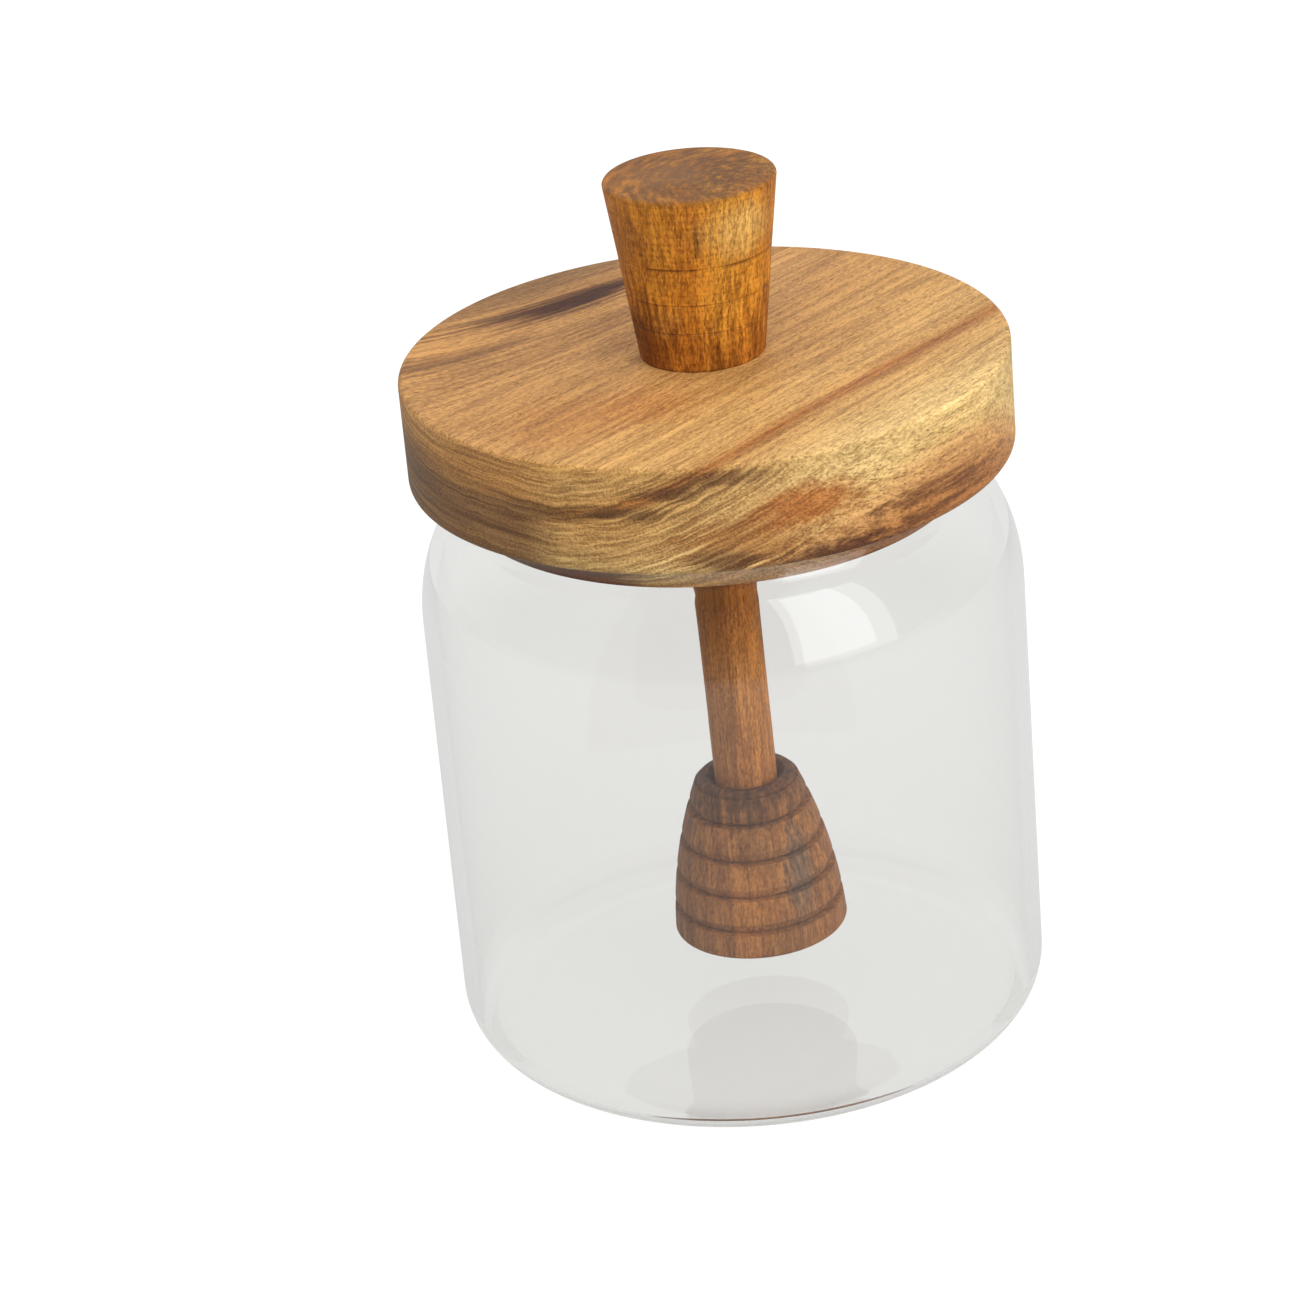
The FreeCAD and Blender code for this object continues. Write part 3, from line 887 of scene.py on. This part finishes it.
head_profile = [
    (0, HEAD_TOP - HEAD_SOCKET),
    (SOCKET_RADIUS, HEAD_TOP - HEAD_SOCKET),
    (SOCKET_RADIUS, HEAD_TOP - COUNTERSINK_DEPTH),
    (SOCKET_RADIUS + COUNTERSINK_WIDTH, HEAD_TOP),
]
head_profile += corner_round((HEAD_TOP_RADIUS, HEAD_TOP), HEAD_TOP_ROUND, 0)[::-1]
below = HEAD_TOP_ROUND
for index in range(GROOVES):
    middle = TOP_RIB + index * groove_pitch
    lip = middle - GROOVE_WIDTH / 2 - RIB_SLOPE_HEIGHT
    surface = head_radius(middle)
    head_profile += bell_run(below, lip, RIB_STEPS)
    head_profile += [
        (surface - RIB_SLOPE_DEPTH, HEAD_TOP - middle + GROOVE_WIDTH / 2),
        (surface - GROOVE_DEPTH, HEAD_TOP - middle + GROOVE_WIDTH / 2),
        (surface - GROOVE_DEPTH, HEAD_TOP - middle - GROOVE_WIDTH / 2),
    ]
    below = middle + GROOVE_WIDTH / 2
head_profile += bell_run(below, HEAD_LENGTH - HEAD_END_ROUND, RIB_STEPS)
head_profile += corner_round((HEAD_BOTTOM_RADIUS, -STICK_LENGTH), HEAD_END_ROUND, -90)[::-1]
head_profile += [(0, -STICK_LENGTH)]
head = turned("Dipper_head", head_profile, WOOD_FACES_ROUND)
bpy.ops.object.shade_smooth_by_angle(angle=math.radians(HEAD_SMOOTH_ANGLE))
hang(head)
HEAD_HEART = (0, 8, 14)
HEAD_RELIEF = 0.12 * MM
HEAD_COLOURS = [
    (0, colour(176, 116, 60)), (8, colour(166, 108, 58)), (13, colour(142, 92, 48)),
    (16, colour(178, 116, 60)), (22, colour(152, 98, 52)), (30, colour(132, 86, 48)),
]
HEAD_STAINS_AND_PAINTED_SHADE = [
    ((1.0, -12.0, 21.0), (4.0, 5.0, 10.0), 0.5, 0.7, colour(204, 132, 62)),
    ((8.0, -9.0, 26.0), (2.8, 4.0, 11.0), 0.5, 0.8, colour(118, 96, 78)),
    # Painted shade: a dark band round the head's top and countersink, under the rod and the
    # lid.
    ((0.0, 0.0, 39.6), (15.0, 15.0, 7.2), 0.4, 0.85, colour(86, 52, 28)),
]
head_wood, tree, output = new_material("Acacia head")
here = board_position(tree, UNTURNED, UNMOVED)
place = board_position(tree, FIBRES_UPRIGHT, HEAD_HEART)
grain = group_node(tree, grain_group, {"Position": place, "Waviness": 1.2, "Ring Lines": 1.6})
base = ramp(tree, grain["Radius"], HEAD_COLOURS)
base = stained_and_lit(tree, here, grain, base, HEAD_STAINS_AND_PAINTED_SHADE)
finish_wood(tree, output, base, grain, {
    "Ring Strength": 0.6, "Stroke Strength": 0.8, "Pore Strength": 0.6, "Figure Strength": 0.6,
}, HEAD_RELIEF)
head.data.materials.append(head_wood)
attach(head, "root")
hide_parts("dipper_head")


# The stage is a plain white table top in soft daylight from the right and above.  The
# camera sees pure white past the jar, and glass and its reflections see a white room.
FLOOR_SIZE = 8.0
FLOOR_DROP = 0.1 * MM
FLOOR_GREY = 0.32
FLOOR_GREY_IN_GLASS = 0.12
FLOOR_GLOW_MIRRORED = 0.38
FLOOR_GLOW_IN_GLASS = 0.72
FLOOR_GLOW_SEEN = 0.74
WHITE = (1.0, 1.0, 1.0, 1.0)
bpy.ops.object.select_all(action="DESELECT")
bpy.ops.mesh.primitive_plane_add(size=FLOOR_SIZE, location=(0, 0, -FLOOR_DROP))
floor = bpy.context.object
floor.name = "White_table"
white, tree, output = new_material("White table top")
path = add(tree, "ShaderNodeLightPath")
in_glass = path.outputs["Is Transmission Ray"]
grey = mix_node(tree, in_glass, FLOOR_GREY, FLOOR_GREY_IN_GLASS)
paper = add(tree, "ShaderNodeBsdfDiffuse", {"Color": grey})
lift = math_node(tree, "MULTIPLY", path.outputs["Is Glossy Ray"], FLOOR_GLOW_MIRRORED)
lift = mix_node(tree, in_glass, lift, FLOOR_GLOW_IN_GLASS)
lift = mix_node(tree, path.outputs["Is Camera Ray"], lift, FLOOR_GLOW_SEEN)
glow = add(tree, "ShaderNodeEmission", {"Color": WHITE, "Strength": lift})
both = add(tree, "ShaderNodeAddShader")
tree.links.new(paper.outputs[0], both.inputs[0])
tree.links.new(glow.outputs[0], both.inputs[1])
tree.links.new(both.outputs[0], output.inputs["Surface"])
floor.data.materials.append(white)

world = bpy.data.worlds.new("Studio")
world.use_nodes = True
bpy.context.scene.world = world
tree = world.node_tree
sky = tree.nodes["Background"]
aim = add(tree, "ShaderNodeTexCoord").outputs["Generated"]
# The window, as glass mirrors it: its heading in degrees, its brightness, and its edges as
# slopes seen from the jar, each softened over a short stretch.
WINDOW_HEADING = 50.0
WINDOW_MIRRORED = 2.6
WINDOW_SIDE = (0.28, 0.30)
WINDOW_SILL = (0.02, 0.05)
WINDOW_HEAD = (1.60, 1.66)
WINDOW_AHEAD = (0.0, 0.05)
# The room's brightness, at the horizon and overhead, behind the jar and through glass.
DAYLIGHT_LOW = 0.38
DAYLIGHT_HIGH = 1.30
MIRRORED_LOW = 0.30
MIRRORED_HIGH = 0.10
MIRRORED_RISE = (0.0, 0.5)
BEHIND = (-0.1, 0.3)
ROOM_BEHIND = 0.85
ROOM_IN_GLASS = 0.85
ROOM_SEEN = 1.0
facing = add(tree, "ShaderNodeVectorRotate", {
    "Vector": aim,
    "Angle": math.radians(WINDOW_HEADING),
}, rotation_type="Z_AXIS").outputs[0]
facing = add(tree, "ShaderNodeSeparateXYZ", {0: facing}).outputs
across = math_node(tree, "DIVIDE", facing[1], facing[0])
across = math_node(tree, "ABSOLUTE", across)
above = math_node(tree, "DIVIDE", facing[2], facing[0])
pane = spread(tree, across, *WINDOW_SIDE, 1.0, 0.0)
pane = math_node(tree, "MULTIPLY", pane, spread(tree, above, *WINDOW_SILL))
pane = math_node(tree, "MULTIPLY", pane, spread(tree, above, *WINDOW_HEAD, 1.0, 0.0))
pane = math_node(tree, "MULTIPLY", pane, spread(tree, facing[0], *WINDOW_AHEAD))
path = add(tree, "ShaderNodeLightPath")
outside = spread(tree, path.outputs["Transmission Depth"], 1.0, 2.0, 1.0, 0.0)
pane = math_node(tree, "MULTIPLY", pane, outside)
aim = add(tree, "ShaderNodeSeparateXYZ", {0: aim}).outputs
daylight = spread(tree, aim[2], 0.0, 1.0, DAYLIGHT_LOW, DAYLIGHT_HIGH)
mirrored = spread(tree, aim[2], *MIRRORED_RISE, MIRRORED_LOW, MIRRORED_HIGH)
behind = spread(tree, aim[1], *BEHIND)
mirrored = mix_node(tree, behind, mirrored, ROOM_BEHIND)
mirrored = mix_node(tree, pane, mirrored, WINDOW_MIRRORED)
daylight = mix_node(tree, path.outputs["Is Glossy Ray"], daylight, mirrored)
daylight = mix_node(tree, path.outputs["Is Transmission Ray"], daylight, ROOM_IN_GLASS)
daylight = mix_node(tree, path.outputs["Is Camera Ray"], daylight, ROOM_SEEN)
tree.links.new(daylight, sky.inputs["Strength"])
sky.inputs["Color"].default_value = WHITE


def softbox(name, place, aim, size, power):
    """A rectangular lamp at a place, turned to face a point."""
    bpy.ops.object.select_all(action="DESELECT")
    bpy.ops.object.light_add(type="AREA", location=place)
    lamp = bpy.context.object
    lamp.name = name
    lamp.data.shape = "RECTANGLE"
    lamp.data.size = size[0]
    lamp.data.size_y = size[1]
    lamp.data.energy = power
    lamp.rotation_euler = (Vector(aim) - Vector(place)).to_track_quat("-Z", "Y").to_euler()
    return lamp


LAMP_PLACE = (0.514, -0.613, 0.75)
LAMP_AIM = (0, 0, 0.75)
LAMP_SIZE = (0.46, 1.30)
LAMP_POWER = 6.1
window = softbox("Window", LAMP_PLACE, LAMP_AIM, LAMP_SIZE, LAMP_POWER)
window.visible_glossy = False

CAMERA_PLACE = (0.0, -0.565645, 0.322783)
CAMERA_LENS = 114.35
SENSOR_WIDTH = 36.0
CLIP_START = 0.01
CAMERA_TILT = 24.878
CAMERA_HEADING = 1.1516
CAMERA_ROLL = -5.1659
bpy.ops.object.select_all(action="DESELECT")
bpy.ops.object.camera_add()
camera = bpy.context.object
camera.name = "Camera"
camera.data.lens = CAMERA_LENS
camera.data.sensor_width = SENSOR_WIDTH
camera.data.clip_start = CLIP_START
heading = Matrix.Rotation(math.radians(CAMERA_HEADING), 4, "Z")
tilt = Matrix.Rotation(math.radians(90 - CAMERA_TILT), 4, "X")
roll = Matrix.Rotation(math.radians(CAMERA_ROLL), 4, "Z")
camera.matrix_world = Matrix.Translation(CAMERA_PLACE) @ heading @ tilt @ roll
bpy.context.scene.camera = camera
bpy.context.scene.view_settings.view_transform = "Standard"
